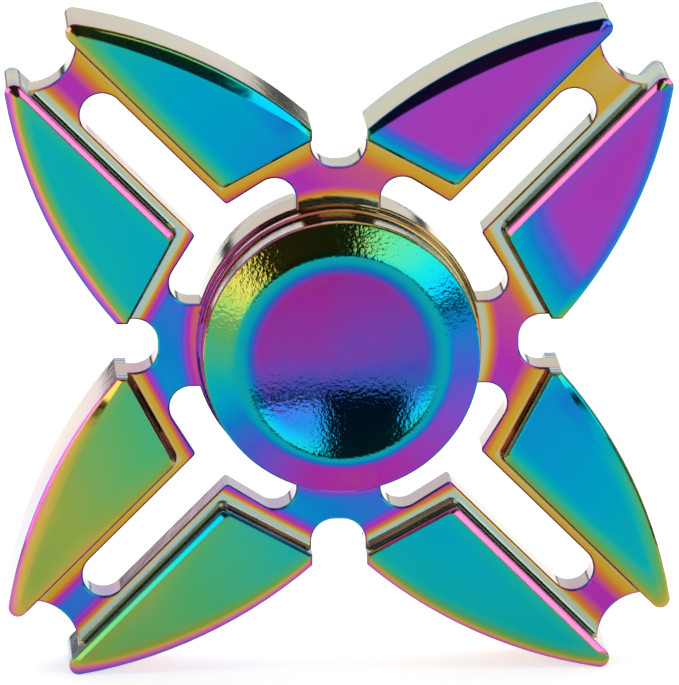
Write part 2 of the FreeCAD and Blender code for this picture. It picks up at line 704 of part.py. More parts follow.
def cage_half(label, turn):
    """Pressed ribbon half: a flat band bulged over every ball, lying above the middle plane."""
    sheet = on_sheet("cage_sheet")
    reach = on_sheet("pocket_reach")
    band = cylinder(f"{label}_sheet", on_sheet("cage_outer_radius"), sheet, 0)
    bulges = spheres(f"{label}_bulge", "pocket_outer_radius")
    ribbon = joined(f"{label}_ribbon", [band] + bulges)
    hollows = joined(f"{label}_hollows", spheres(f"{label}_hollow", "pocket_radius"))
    open_ribbon = combined("Cut", f"{label}_open", ribbon, hollows)
    inner = cylinder(f"{label}_inner", on_sheet("cage_inner_radius"), reach, 0)
    outer = cylinder(f"{label}_outer", on_sheet("cage_outer_radius"), reach, 0)
    zone = combined("Cut", f"{label}_zone", outer, inner)
    trimmed = combined("Common", f"{label}_trimmed", open_ribbon, zone)
    holes = []
    for step in range(BALL_COUNT):
        place = around_pitch_circle(step, 0.5)
        holes.append(cylinder(f"{label}_rivet_hole_{step + 1}", on_sheet("rivet_radius"), reach,
                              0, place))
    half = combined("Cut", label, trimmed, joined(f"{label}_rivet_holes", holes))
    half.Placement = FreeCAD.Placement(Vector(0, 0, 0), turn)
    return half


def cage_rivets():
    """Seven rivets, each a shank with a round head at both ends."""
    rivets = []
    sheet = size("cage_sheet")
    head = size("rivet_head_height")
    for step in range(BALL_COUNT):
        place = around_pitch_circle(step, 0.5)
        name = f"rivet_{step + 1}"
        shank = cylinder(f"{name}_shank", on_sheet("rivet_radius"),
                         f"2 * {on_sheet('cage_sheet')}", -sheet, place)
        parts = [shank]
        for end, base in (("front", sheet), ("rear", -sheet - head)):
            parts.append(cylinder(f"{name}_{end}", on_sheet("rivet_head_radius"),
                                  on_sheet("rivet_head_height"), base, place))
        rivets.append(joined(name, parts))
    group = DOCUMENT.addObject("Part::Compound", "cage_rivets")
    group.Links = rivets
    group.Placement = FreeCAD.Placement(Vector(0, 0, 0), UPRIGHT)
    return group


def shield(label, turn):
    """Pressed sheet ring: its rim lies in the recess and its middle is raised towards the face."""
    body = new_body(label)
    revolve(body, "sheet", [
        ("shield_bend_radius", "seat_height"),
        ("shield_rim_radius", "seat_height"),
        ("shield_rim_radius", "shield_top"),
        ("shield_step_radius", "shield_top"),
        ("shield_step_radius", "shield_raised_top"),
        ("shield_hole_radius", "shield_raised_top"),
        ("shield_hole_radius", "shield_raised"),
        ("shield_bend_radius", "shield_raised"),
    ])
    body.Placement = FreeCAD.Placement(Vector(0, 0, 0), turn)
    return body


def snap_ring(label, turn):
    """Open spring ring that locks a shield into the outer race."""
    body = new_body(label)
    ring = revolve(body, "wire", [
        ("snap_inner_radius", "shield_top"),
        ("snap_groove_radius", "shield_top"),
        ("snap_groove_radius", "snap_top"),
        ("snap_inner_radius", "snap_top"),
    ])
    bind(ring, Angle=f"360 - {on_sheet('snap_ring_gap')}")
    body.Placement = FreeCAD.Placement(Vector(0, 0, 0), turn)
    return body


# ---------------------------------------------------------------- finger caps and stud
def finger_cap(label, turn):
    """Turned cap: dished disc, boss on the inner race, stem in its bore, threaded hole."""
    body = new_body(label)
    revolve(body, "turning", [
        ("stud_radius", "stem_end"),
        ("stem_radius", "stem_end"),
        ("stem_radius", "half_race"),
        ("boss_radius", "half_race"),
        ("boss_radius", "cap_underside"),
        ("cap_chamfer_radius", "cap_underside"),
        ("cap_radius", "cap_chamfer_height"),
        ("cap_radius", "cap_edge_top"),
        ("crest_outer_radius", "crest_height"),
        ("axis_line", "crest_height"),
        ("axis_line", "stud_hole_end"),
        ("stud_radius", "stud_hole_end"),
    ])
    dish = body.newObject("PartDesign::SubtractiveSphere", "finger_dish")
    dish.Placement = FreeCAD.Placement(Vector(0, 0, 0), POLES_ASIDE)
    bind(dish, Radius=on_sheet("dish_radius"))
    bind(dish, **{"Placement.Base.z": on_sheet("dish_centre_height")})
    body.Tip = dish
    DOCUMENT.recompute()
    crest = circles_at(dish, size("crest_inner_radius"), size("crest_height"))
    crest += circles_at(dish, size("crest_outer_radius"), size("crest_height"))
    soft = dress(body, "Fillet", "crest", dish, crest, Radius="crest_round")
    edge = circles_at(soft, size("cap_radius"), size("cap_edge_top"))
    dress(body, "Fillet", "outer_edge", soft, edge, Radius="cap_edge_round")
    body.Placement = FreeCAD.Placement(Vector(0, 0, 0), turn)
    return body


def cap_stud():
    """Headless M5 screw with a hexagon socket, its thread drawn as a plain cylinder."""
    body = new_body("cap_stud")
    revolve(body, "shank", [
        ("axis_line", "stud_bottom"),
        ("stud_end_radius", "stud_bottom"),
        ("stud_radius", "stud_chamfer_bottom"),
        ("stud_radius", "stud_chamfer_top"),
        ("stud_end_radius", "stud_half"),
        ("axis_line", "stud_half"),
    ])
    sketch = new_sketch(body, "socket_outline")
    corners = []
    for step in range(6):
        angle = math.pi / 3 * step
        corners.append(Vector(math.cos(angle), math.sin(angle), 0) * size("hex_radius"))
    for step in range(6):
        sketch.addGeometry(Part.LineSegment(corners[step], corners[(step + 1) % 6]), False)
        sketch.addConstraint(Sketcher.Constraint("Block", step))
    bind(sketch, **{"AttachmentOffset.Base.z": on_sheet("stud_half")})
    socket = body.newObject("PartDesign::Pocket", "hexagon_socket")
    socket.Profile = sketch
    bind(socket, Length=on_sheet("hex_depth"))
    body.Tip = socket
    body.Placement = FreeCAD.Placement(Vector(0, 0, 0), UPRIGHT)
    return body


# ---------------------------------------------------------------- build, check and write
def all_pieces():
    pieces = [spinner_body(), outer_race(), inner_race()]
    pieces += balls()
    pieces += [cage_half("cage_front_half", UPRIGHT), cage_half("cage_rear_half", REAR_UPRIGHT)]
    pieces.append(cage_rivets())
    for end, turn in (("front", UPRIGHT), ("rear", REAR_UPRIGHT)):
        pieces.append(shield(f"shield_{end}", turn))
        pieces.append(snap_ring(f"snap_ring_{end}", turn))
        pieces.append(finger_cap(f"finger_cap_{end}", turn))
    pieces.append(cap_stud())
    return pieces


def main():
    fill_sheet()
    pieces = all_pieces()
    DOCUMENT.recompute()
    for thing in DOCUMENT.Objects:
        if "Invalid" in thing.State or "Error" in thing.State:
            raise RuntimeError(f"{thing.Name} failed: {thing.State}")
    for piece in pieces:
        if piece.Shape.isNull() or not piece.Shape.isValid():
            raise RuntimeError(f"{piece.Label} has no valid shape")
    os.makedirs("parts", exist_ok=True)
    for piece in pieces:
        piece.Shape.exportStep(f"parts/{piece.Label}.step")
        solids = len(piece.Shape.Solids)
        print(f"{piece.Label}: {solids} solid(s), {piece.Shape.Volume:.1f} cubic mm")


main()
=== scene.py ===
"""Looks for a four-armed fidget spinner: rainbow-plated zinc body and caps on a steel ball bearing."""
import bmesh
import bpy
import math
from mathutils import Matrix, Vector


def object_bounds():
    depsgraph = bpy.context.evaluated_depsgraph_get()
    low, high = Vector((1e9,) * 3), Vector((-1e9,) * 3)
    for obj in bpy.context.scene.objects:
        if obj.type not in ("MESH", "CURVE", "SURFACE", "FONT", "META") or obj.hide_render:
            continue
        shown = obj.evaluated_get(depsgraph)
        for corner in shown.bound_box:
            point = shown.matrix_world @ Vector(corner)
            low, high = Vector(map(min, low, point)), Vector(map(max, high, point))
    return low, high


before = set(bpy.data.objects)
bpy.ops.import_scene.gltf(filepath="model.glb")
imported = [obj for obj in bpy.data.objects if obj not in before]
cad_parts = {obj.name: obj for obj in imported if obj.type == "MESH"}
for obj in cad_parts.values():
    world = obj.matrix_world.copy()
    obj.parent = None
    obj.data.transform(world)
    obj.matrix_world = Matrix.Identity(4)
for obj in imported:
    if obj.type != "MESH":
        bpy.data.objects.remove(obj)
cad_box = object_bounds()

# ------------------------------------------------------------------ claw casting
# One zinc die casting: four arms of two claws each, joined at a ring for the bearing.
# It is polished, then vapour-plated with a clear hard film whose thickness wanders over the shape.
# The film gives strong rainbow colour on a mirror of metal, paler beside the raised pads' feet.

# millimetres in a metre, and the cosine of the arms' 45 degrees
MILLIMETRES = 1000.0
DIAGONAL = math.sqrt(0.5)

# shape of the casting in millimetres, and the radius (in metres) that polishing leaves on its edges
SLOT_TO_PAD = 3.1
PAD_INNER_REACH = 18.45
PAD_INNER_SLANT = math.radians(16.6)
OUTER_EDGE_RADIUS = 44.5
OUTER_EDGE_CENTRE = (13.26, -31.51, 0)
HUB_RIM_RADIUS = 13.5
HUB_END = HUB_RIM_RADIUS + 1.5
FLANGE_LEVEL = 2.1
ABOVE_FLANGE = FLANGE_LEVEL - 0.1
PAD_SHOULDER = 4.1
PAD_SIDE = (FLANGE_LEVEL + 0.3, PAD_SHOULDER - 0.2)
EDGE_ROUND = 0.00022

# polishing ripple and cloudiness: patterns per millimetre, ripple depth in metres, roughness range
RIPPLE_PER_MM = 0.55
RIPPLE_DEPTH = 0.000012
HAZE_PER_MM = 3.0
CASTING_HAZE = {"To Min": 0.04, "To Max": 0.12}

# pad tops: where the film starts and stops thinning (x + z, millimetres), and by how much
LOWER_LEFT_PHASE = 0.861
PAD_STEPS = ((-42.0, -10.0, 0.250), (-10.0, 12.0, 0.074), (14.0, 21.0, 0.302))
UPPER_RIGHT_ARM = (14.0, 21.0)
LOWER_LEFT_ARM = (-14.0, -22.0)
LOWER_LEFT_TURN = -0.0035
ARM_MIDDLE = 24.0
OUTWARD_RISE = (0.0029, 0.0070)

# how the film builds up inside a pad's sides: from and to (millimetres), phase there and there
# a share scales that phase, and a pair of values is for the claws below and above their slots
# the outer share of the claws below runs from one x - z (millimetres) to another
OUTER_BUILD = (0.3, 2.2, 0.3, 0.0)
OUTER_SHARE_BELOW = (-30.0, -8.0, 0.9, 0.4)
OUTER_SHARE_ABOVE = 0.25
RIM_BUILD = (0.1, 1.0, 0.3, 0.0)
RIM_SHARE = (1.0, 0.3)
SLOT_BUILD = (-0.3, -2.4, 0.24, 0.0)
SLOT_SHARE = (0.3, 0.8)
SLOT_SHARE_AT_CORNERS = 0.2
INNER_START = -0.2
INNER_REACH = (-5.2, -2.4)
INNER_MOST = 0.38
UPPER_RIGHT_SHARE = 0.35

# flange, by millimetres from a pad's foot: pale, then gold, then open metal
# the open metal's film thins towards the upper right, thickens on a neck as it nears the hub,
# and thins again right beside the hub's rim
PALE_START = 0.1
PALE_REACH = (1.3, 0.6)
PALE_PHASE = (-0.24, -0.1)
OPEN_METAL = (0.9, 2.5)
OPEN_PHASE = 0.2
OPEN_SLOPE = -0.0045
NECK = (24.0, 18.0)
NECK_RISE = 0.12
HUB_FADE = (HUB_RIM_RADIUS, HUB_RIM_RADIUS + 1.7, -0.3, 0.0)

# edges: the lean (radians) and upward share of the normal at which the film's phase changes
# painted highlight: below a slot the edge that looks up takes a bright phase, on the lower left arm a
# phase of its own
TILT_SHIFT = (0.05, 0.7, 0.0, 0.18)
HIGHLIGHT_LEANS = (0.12, 0.25)
HIGHLIGHT_RISES = (0.05, 0.15)
PAINTED_HIGHLIGHT_PHASE = 1.14
LOWER_LEFT_HIGHLIGHT_PHASE = 0.32
LOWER_LEFT_HIGHLIGHT_RISE = 0.014
WANDER_PER_MM = 0.08
WANDER = {"To Min": -0.03, "To Max": 0.03}

# walls: from which lean the film is seen edge-on, and how its pale colour drifts over the part
# the caps' walls start at the same lean
WALL = (0.95, 1.4, 0.0, 0.8)
DRIFT_PER_MM = 0.07
DRIFT = (0.3, 0.7, 0.35, 0.7)
DRIFT_ACROSS = -0.006
DRIFT_INTO = -0.03
FOOT = (-1.2, -0.6)

# darkening of the film's colours: the share of the light that the plated metal gives back
FILM_MIRROR = 0.75

# what the film shows as it thickens, from pale straw to the second pink
FILM_COLOURS = [
    (-0.20, "9DC3CC"),
    (-0.08, "B8BC93"),
    (0.00, "C79F2A"),
    (0.09, "CC6A3C"),
    (0.20, "B02FAA"),
    (0.28, "8A48C2"),
    (0.36, "4A5AD0"),
    (0.46, "107CCB"),
    (0.56, "00A0C6"),
    (0.66, "10AFA6"),
    (0.78, "4FAE6C"),
    (0.90, "8FA648"),
    (1.02, "D0AE48"),
    (1.12, "E478A4"),
    (1.24, "C353C4"),
    (1.40, "5A66D0"),
]
# the same film seen edge-on, where it pales
EDGE_ON_COLOURS = [
    (0.00, "98BAAE"),
    (0.30, "B4BF8C"),
    (0.50, "BDB18A"),
    (0.70, "BE90A2"),
    (0.85, "A291BE"),
    (1.00, "8EA7BF"),
]
# stripes painted from the foot of a pad's side up to its shoulder, in place of mirrored ones
FOOT_COLOURS = [
    (0.00, "12324A"),
    (0.18, "C4E6F2"),
    (0.34, "3F8FC0"),
    (0.52, "0E2338"),
    (0.70, "A8CFDD"),
    (0.84, "1A2436"),
    (1.00, "D9B8DC"),
]


def linear(hex_colour):
    """Linear red, green, blue and alpha of an sRGB hex colour."""
    channels = [int(hex_colour[place:place + 2], 16) / 255 for place in (0, 2, 4)]
    curved = [c / 12.92 if c <= 0.04045 else ((c + 0.055) / 1.055) ** 2.4 for c in channels]
    return (*curved, 1.0)


def add_node(tree, kind, inputs=None, output=0, **settings):
    """Add a node, set its properties, fill its inputs with values or sockets, and return one output."""
    node = tree.nodes.new(kind)
    for name, value in settings.items():
        if name == "stops":
            fill_ramp(node.color_ramp, value)
        else:
            setattr(node, name, value)
    for name, value in (inputs or {}).items():
        if isinstance(value, bpy.types.NodeSocket):
            tree.links.new(value, node.inputs[name])
        else:
            node.inputs[name].default_value = value
    return node.outputs[output] if node.outputs else None


def fill_ramp(ramp, stops):
    """Write colour stops, spread over the whole ramp, into a colour ramp."""
    start, end = stops[0][0], stops[-1][0]
    while len(ramp.elements) > 1:
        ramp.elements.remove(ramp.elements[-1])
    for number, (place, colour) in enumerate(stops):
        position = (place - start) / (end - start)
        element = ramp.elements[0] if number == 0 else ramp.elements.new(position)
        element.position = position
        element.color = linear(colour)


def new_material(name):
    """An empty material of that name, and its node tree."""
    material = bpy.data.materials.new(name)
    material.use_nodes = True
    material.node_tree.nodes.clear()
    return material, material.node_tree


def give_material(material, *nodes):
    """Put one material in every slot of the named CAD nodes."""
    for name in nodes:
        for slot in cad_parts[name].material_slots:
            slot.material = material


def span(start, end, low=0.0, high=1.0):
    """Inputs that carry a value from one range over to another."""
    return {"From Min": start, "From Max": end, "To Min": low, "To Max": high}


def place_on_part(tree):
    """Position on the part in millimetres, and its distance from the spin axis."""
    place = add_node(tree, "ShaderNodeTexCoord", output="Object")
    place = add_node(tree, "ShaderNodeVectorMath", {0: place, 1: (MILLIMETRES,) * 3},
                     operation="MULTIPLY")
    from_axis = add_node(tree, "ShaderNodeVectorMath", {0: place, 1: (1, 0, 1)},
                         operation="MULTIPLY")
    radius = add_node(tree, "ShaderNodeVectorMath", {0: from_axis}, output="Value",
                      operation="LENGTH")
    return place, radius


def rounded_normal(tree, relief, relief_depth):
    """Normal with every edge softened as polishing does, then the fine relief on top of it.

    Returns the shading normal, how far the softened surface leans from the front or rear face,
    and the softened normal as the part sees it.
    """
    soft = add_node(tree, "ShaderNodeBevel", {"Radius": EDGE_ROUND}, samples=4)
    shading = add_node(tree, "ShaderNodeBump",
                       {"Height": relief, "Strength": 1.0, "Distance": relief_depth,
                        "Normal": soft})
    own = add_node(tree, "ShaderNodeVectorTransform", {0: soft}, vector_type="NORMAL",
                   convert_from="WORLD", convert_to="OBJECT")
    facing = add_node(tree, "ShaderNodeSeparateXYZ", {0: own}, output="Y")
    facing = add_node(tree, "ShaderNodeMath", {0: facing}, operation="ABSOLUTE", use_clamp=True)
    lean = add_node(tree, "ShaderNodeMath", {0: facing}, operation="ARCCOSINE")
    return shading, lean, own


def film_colour(tree, phase):
    """Colour of the film for a phase: 0 gold, 0.2 magenta, 0.46 blue, 0.66 teal, 0.9 olive."""
    place = add_node(tree, "ShaderNodeMapRange",
                     {0: phase, "From Min": FILM_COLOURS[0][0], "From Max": FILM_COLOURS[-1][0]})
    colour = add_node(tree, "ShaderNodeValToRGB", {0: place}, stops=FILM_COLOURS)
    return add_node(tree, "ShaderNodeVectorMath", {0: colour, "Scale": FILM_MIRROR},
                    operation="SCALE")


def plated_surface(tree, place, colour, haze_range, shading):
    """Mirror of plated metal, its gloss a little cloudy with handling."""
    haze = add_node(tree, "ShaderNodeTexNoise",
                    {"Vector": place, "Scale": HAZE_PER_MM, "Detail": 3.0})
    haze = add_node(tree, "ShaderNodeMapRange", {0: haze, **haze_range})
    surface = add_node(tree, "ShaderNodeBsdfPrincipled",
                       {"Base Color": colour, "Metallic": 1.0, "Roughness": haze,
                        "Normal": shading})
    add_node(tree, "ShaderNodeOutputMaterial", {"Surface": surface})


def which_claw(tree, place):
    """Distances along and across an arm, and 1 on the claw above its arm's slot."""
    folded = add_node(tree, "ShaderNodeVectorMath", {0: place}, operation="ABSOLUTE")
    along = add_node(tree, "ShaderNodeVectorMath", {0: folded, 1: (DIAGONAL, 0, DIAGONAL)},
                     output="Value", operation="DOT_PRODUCT")
    sideways = add_node(tree, "ShaderNodeVectorMath", {0: folded, 1: (-DIAGONAL, 0, DIAGONAL)},
                        output="Value", operation="DOT_PRODUCT")
    across = add_node(tree, "ShaderNodeMath", {0: sideways}, operation="ABSOLUTE")
    up = add_node(tree, "ShaderNodeSeparateXYZ", {0: place}, output="Z")
    upward = add_node(tree, "ShaderNodeMath", {0: up}, operation="SIGN")
    above_slot = add_node(tree, "ShaderNodeMath", {0: sideways, 1: upward}, operation="MULTIPLY")
    above_slot = add_node(tree, "ShaderNodeMath", {0: above_slot, 1: 0.0},
                          operation="GREATER_THAN")
    return along, across, above_slot


def pad_sides(tree, along, across):
    """Distances from a pad's three sides: short of the inner one, short of the slot, inside the outer."""
    inner_line = (PAD_INNER_REACH * math.cos(PAD_INNER_SLANT)
                  + SLOT_TO_PAD * math.sin(PAD_INNER_SLANT))
    before_inner = add_node(tree, "ShaderNodeMath",
                            {0: along, 1: -math.cos(PAD_INNER_SLANT), 2: inner_line},
                            operation="MULTIPLY_ADD")
    before_inner = add_node(tree, "ShaderNodeMath",
                            {0: across, 1: -math.sin(PAD_INNER_SLANT), 2: before_inner},
                            operation="MULTIPLY_ADD")
    beside_slot = add_node(tree, "ShaderNodeMath", {0: SLOT_TO_PAD, 1: across},
                           operation="SUBTRACT")
    arm_place = add_node(tree, "ShaderNodeCombineXYZ", {0: along, 1: across})
    edge_reach = add_node(tree, "ShaderNodeVectorMath", {0: arm_place, 1: OUTER_EDGE_CENTRE},
                          output="Value", operation="DISTANCE")
    inside_outer = add_node(tree, "ShaderNodeMath", {0: OUTER_EDGE_RADIUS, 1: edge_reach},
                            operation="SUBTRACT")
    return before_inner, beside_slot, inside_outer


def pad_top_film(tree, spread, slant, radius, above_slot, upper_right, lower_left):
    """Film on the pads' flat tops, which thins from the lower left arm to the upper right one."""
    phase = LOWER_LEFT_PHASE
    for start, end, drop in PAD_STEPS:
        step = add_node(tree, "ShaderNodeMapRange", {0: spread, **span(start, end, 0.0, -drop)})
        phase = add_node(tree, "ShaderNodeMath", {0: phase, 1: step}, operation="ADD")
    turned = add_node(tree, "ShaderNodeMath", {0: slant, 1: lower_left}, operation="MULTIPLY")
    phase = add_node(tree, "ShaderNodeMath", {0: turned, 1: LOWER_LEFT_TURN, 2: phase},
                     operation="MULTIPLY_ADD")
    # on the two middle arms it also thickens outwards, faster on the claws above the slots
    corner_arm = add_node(tree, "ShaderNodeMath", {0: upper_right, 1: lower_left},
                          operation="ADD")
    below, above = OUTWARD_RISE
    rise = add_node(tree, "ShaderNodeMapRange", {0: above_slot, "To Min": below, "To Max": above})
    rise = add_node(tree, "ShaderNodeMapRange", {0: corner_arm, "To Min": rise, "To Max": 0.0})
    beyond = add_node(tree, "ShaderNodeMath", {0: radius, 1: ARM_MIDDLE}, operation="SUBTRACT")
    return add_node(tree, "ShaderNodeMath", {0: beyond, 1: rise, 2: phase},
                    operation="MULTIPLY_ADD")


def pad_side_film(tree, phase, sides, slant, above_slot, upper_right, lower_left):
    """Film that builds up towards a pad's sides, most on those that face down."""
    before_inner, beside_slot, inside_outer = sides

    outer = add_node(tree, "ShaderNodeMapRange", {0: inside_outer, **span(*OUTER_BUILD)},
                     interpolation_type="SMOOTHSTEP")
    share = add_node(tree, "ShaderNodeMapRange", {0: slant, **span(*OUTER_SHARE_BELOW)})
    share = add_node(tree, "ShaderNodeMapRange",
                     {0: above_slot, "To Min": share, "To Max": OUTER_SHARE_ABOVE})
    outer = add_node(tree, "ShaderNodeMath", {0: outer, 1: share}, operation="MULTIPLY")
    rim = add_node(tree, "ShaderNodeMapRange", {0: inside_outer, **span(*RIM_BUILD)})
    share = add_node(tree, "ShaderNodeMapRange",
                     {0: above_slot, "To Min": RIM_SHARE[0], "To Max": RIM_SHARE[1]})
    rim = add_node(tree, "ShaderNodeMath", {0: rim, 1: share}, operation="MULTIPLY")
    outer = add_node(tree, "ShaderNodeMath", {0: outer, 1: rim}, operation="ADD")
    share = add_node(tree, "ShaderNodeMapRange",
                     {0: upper_right, "To Min": 1.0, "To Max": UPPER_RIGHT_SHARE})
    outer = add_node(tree, "ShaderNodeMath", {0: outer, 1: share}, operation="MULTIPLY")

    slot = add_node(tree, "ShaderNodeMapRange", {0: beside_slot, **span(*SLOT_BUILD)},
                    interpolation_type="SMOOTHSTEP")
    share = add_node(tree, "ShaderNodeMapRange",
                     {0: above_slot, "To Min": SLOT_SHARE[0], "To Max": SLOT_SHARE[1]})
    corner_arm = add_node(tree, "ShaderNodeMath", {0: upper_right, 1: lower_left},
                          operation="ADD")
    share = add_node(tree, "ShaderNodeMapRange",
                     {0: corner_arm, "To Min": share, "To Max": SLOT_SHARE_AT_CORNERS})
    slot = add_node(tree, "ShaderNodeMath", {0: slot, 1: share}, operation="MULTIPLY")

    reach = add_node(tree, "ShaderNodeMapRange",
                     {0: above_slot, "To Min": INNER_REACH[0], "To Max": INNER_REACH[1]})
    inner = add_node(tree, "ShaderNodeMapRange",
                     {0: before_inner, **span(INNER_START, reach, INNER_MOST, 0.0)})
    inner = add_node(tree, "ShaderNodeMath", {0: inner, 1: upper_right}, operation="MULTIPLY")

    for build_up in (outer, slot, inner):
        phase = add_node(tree, "ShaderNodeMath", {0: phase, 1: build_up}, operation="ADD")
    return phase


def flange_film(tree, from_pad, spread, radius, above_slot):
    """Film on the flange and necks: pale at a pad's foot, then gold, then the open metal's."""
    near_hub = add_node(tree, "ShaderNodeMapRange", {0: radius, **span(*NECK)})
    slope = add_node(tree, "ShaderNodeMath", {0: near_hub, 1: OPEN_SLOPE, 2: OPEN_SLOPE},
                     operation="MULTIPLY_ADD")
    open_phase = add_node(tree, "ShaderNodeMath", {0: near_hub, 1: NECK_RISE, 2: OPEN_PHASE},
                          operation="MULTIPLY_ADD")
    open_phase = add_node(tree, "ShaderNodeMath", {0: spread, 1: slope, 2: open_phase},
                          operation="MULTIPLY_ADD")
    reach = add_node(tree, "ShaderNodeMapRange",
                     {0: above_slot, "To Min": PALE_REACH[0], "To Max": PALE_REACH[1]})
    pale = add_node(tree, "ShaderNodeMapRange",
                    {0: above_slot, "To Min": PALE_PHASE[0], "To Max": PALE_PHASE[1]})
    to_gold = add_node(tree, "ShaderNodeMapRange",
                       {0: from_pad, **span(PALE_START, reach, pale, 0.0)})
    to_open = add_node(tree, "ShaderNodeMapRange", {0: from_pad, **span(*OPEN_METAL)})
    phase = add_node(tree, "ShaderNodeMix", {0: to_open, 2: to_gold, 3: open_phase})
    hub_fade = add_node(tree, "ShaderNodeMapRange", {0: radius, **span(*HUB_FADE)},
                        interpolation_type="SMOOTHSTEP")
    return add_node(tree, "ShaderNodeMath", {0: phase, 1: hub_fade}, operation="ADD")


def edge_film(tree, phase, lean, own, radius, on_pad, above_slot, lower_left):
    """Film on leaning edges, thicker than on the face; below a slot the edge that looks up gets a painted
    highlight.
    """
    shift = add_node(tree, "ShaderNodeMapRange", {0: lean, **span(*TILT_SHIFT)})
    phase = add_node(tree, "ShaderNodeMath", {0: phase, 1: shift}, operation="ADD")
    # painted highlight: a bright film phase on edges below a slot that look up, on the lower left arm its
    # own phase rising outward
    lower_left_highlight = add_node(tree, "ShaderNodeMath",
                          {0: radius, 1: LOWER_LEFT_HIGHLIGHT_RISE, 2: LOWER_LEFT_HIGHLIGHT_PHASE},
                          operation="MULTIPLY_ADD")
    painted_highlight = add_node(tree, "ShaderNodeMix", {0: lower_left, 2: PAINTED_HIGHLIGHT_PHASE, 3: lower_left_highlight})
    rise = add_node(tree, "ShaderNodeSeparateXYZ", {0: own}, output="Z")
    share = add_node(tree, "ShaderNodeMapRange", {0: rise, **span(*HIGHLIGHT_RISES)})
    leans = add_node(tree, "ShaderNodeMapRange", {0: lean, **span(*HIGHLIGHT_LEANS)})
    below_slot = add_node(tree, "ShaderNodeMath", {0: 1.0, 1: above_slot}, operation="SUBTRACT")
    for limit in (leans, on_pad, below_slot):
        share = add_node(tree, "ShaderNodeMath", {0: share, 1: limit}, operation="MULTIPLY")
    return add_node(tree, "ShaderNodeMix", {0: share, 2: phase, 3: painted_highlight})


def wall_film(tree, place, spread, height, from_pad, past_hub):
    """Colour of the walls, where the film is seen edge-on, with stripes at the pads' feet."""
    drift = add_node(tree, "ShaderNodeTexNoise",
                     {"Vector": place, "Scale": DRIFT_PER_MM, "Detail": 1.0})
    drift = add_node(tree, "ShaderNodeMapRange", {0: drift, **span(*DRIFT)})
    drift = add_node(tree, "ShaderNodeMath", {0: spread, 1: DRIFT_ACROSS, 2: drift},
                     operation="MULTIPLY_ADD")
    depth = add_node(tree, "ShaderNodeSeparateXYZ", {0: place}, output="Y")
    drift = add_node(tree, "ShaderNodeMath", {0: depth, 1: DRIFT_INTO, 2: drift},
                     operation="MULTIPLY_ADD")
    edge_on = add_node(tree, "ShaderNodeValToRGB", {0: drift}, stops=EDGE_ON_COLOURS)
    # the small round at a pad's foot would squeeze its surroundings into thin stripes
    # they are not mirrored here but painted on, by height
    foot_rise = add_node(tree, "ShaderNodeMapRange",
                         {0: height, **span(FLANGE_LEVEL, PAD_SHOULDER)})
    foot = add_node(tree, "ShaderNodeValToRGB", {0: foot_rise}, stops=FOOT_COLOURS)
    at_foot = add_node(tree, "ShaderNodeMapRange", {0: from_pad, **span(*FOOT)})
    above_flange = add_node(tree, "ShaderNodeMath", {0: height, 1: ABOVE_FLANGE},
                            operation="GREATER_THAN")
    for limit in (above_flange, past_hub):
        at_foot = add_node(tree, "ShaderNodeMath", {0: at_foot, 1: limit}, operation="MULTIPLY")
    return add_node(tree, "ShaderNodeMix", {0: at_foot, 6: edge_on, 7: foot}, output=2,
                    data_type="RGBA")


def rainbow_casting():
    """Polished zinc under a rainbow film, its phase set by where a point is on the claws."""
    material, tree = new_material("rainbow_plated_zinc")
    place, radius = place_on_part(tree)
    spread = add_node(tree, "ShaderNodeVectorMath", {0: place, 1: (1, 0, 1)}, output="Value",
                      operation="DOT_PRODUCT")
    slant = add_node(tree, "ShaderNodeVectorMath", {0: place, 1: (1, 0, -1)}, output="Value",
                     operation="DOT_PRODUCT")
    depth = add_node(tree, "ShaderNodeSeparateXYZ", {0: place}, output="Y")
    height = add_node(tree, "ShaderNodeMath", {0: depth}, operation="ABSOLUTE")
    upper_right = add_node(tree, "ShaderNodeMapRange", {0: spread, **span(*UPPER_RIGHT_ARM)})
    lower_left = add_node(tree, "ShaderNodeMapRange", {0: spread, **span(*LOWER_LEFT_ARM)})
    along, across, above_slot = which_claw(tree, place)
    sides = pad_sides(tree, along, across)

    # a slow ripple of hand polishing bends what the metal mirrors a little
    ripple = add_node(tree, "ShaderNodeTexNoise",
                      {"Vector": place, "Scale": RIPPLE_PER_MM, "Detail": 2.0})
    shading, lean, own = rounded_normal(tree, ripple, RIPPLE_DEPTH)

    past_hub = add_node(tree, "ShaderNodeMath", {0: radius, 1: HUB_END},
                        operation="GREATER_THAN")
    on_pad = add_node(tree, "ShaderNodeMapRange",
                      {0: height, **span(*PAD_SIDE)})
    on_pad = add_node(tree, "ShaderNodeMath", {0: on_pad, 1: past_hub}, operation="MULTIPLY")
    from_pad = add_node(tree, "ShaderNodeMath", {0: sides[1], 1: sides[0]}, operation="MAXIMUM")

    pad_phase = pad_top_film(tree, spread, slant, radius, above_slot, upper_right, lower_left)
    pad_phase = pad_side_film(tree, pad_phase, sides, slant, above_slot, upper_right, lower_left)
    flange_phase = flange_film(tree, from_pad, spread, radius, above_slot)
    phase = add_node(tree, "ShaderNodeMix", {0: on_pad, 2: flange_phase, 3: pad_phase})
    phase = edge_film(tree, phase, lean, own, radius, on_pad, above_slot, lower_left)
    wander = add_node(tree, "ShaderNodeTexNoise",
                      {"Vector": place, "Scale": WANDER_PER_MM, "Detail": 1.0})
    wander = add_node(tree, "ShaderNodeMapRange", {0: wander, **WANDER})
    phase = add_node(tree, "ShaderNodeMath", {0: phase, 1: wander}, operation="ADD")

    wall = add_node(tree, "ShaderNodeMapRange", {0: lean, **span(*WALL)})
    colour = add_node(tree, "ShaderNodeMix",
                      {0: wall, 6: film_colour(tree, phase),
                       7: wall_film(tree, place, spread, height, from_pad, past_hub)},
                      output=2, data_type="RGBA")
    plated_surface(tree, place, colour, CASTING_HAZE, shading)
    return material


give_material(rainbow_casting(), "spinner_body")

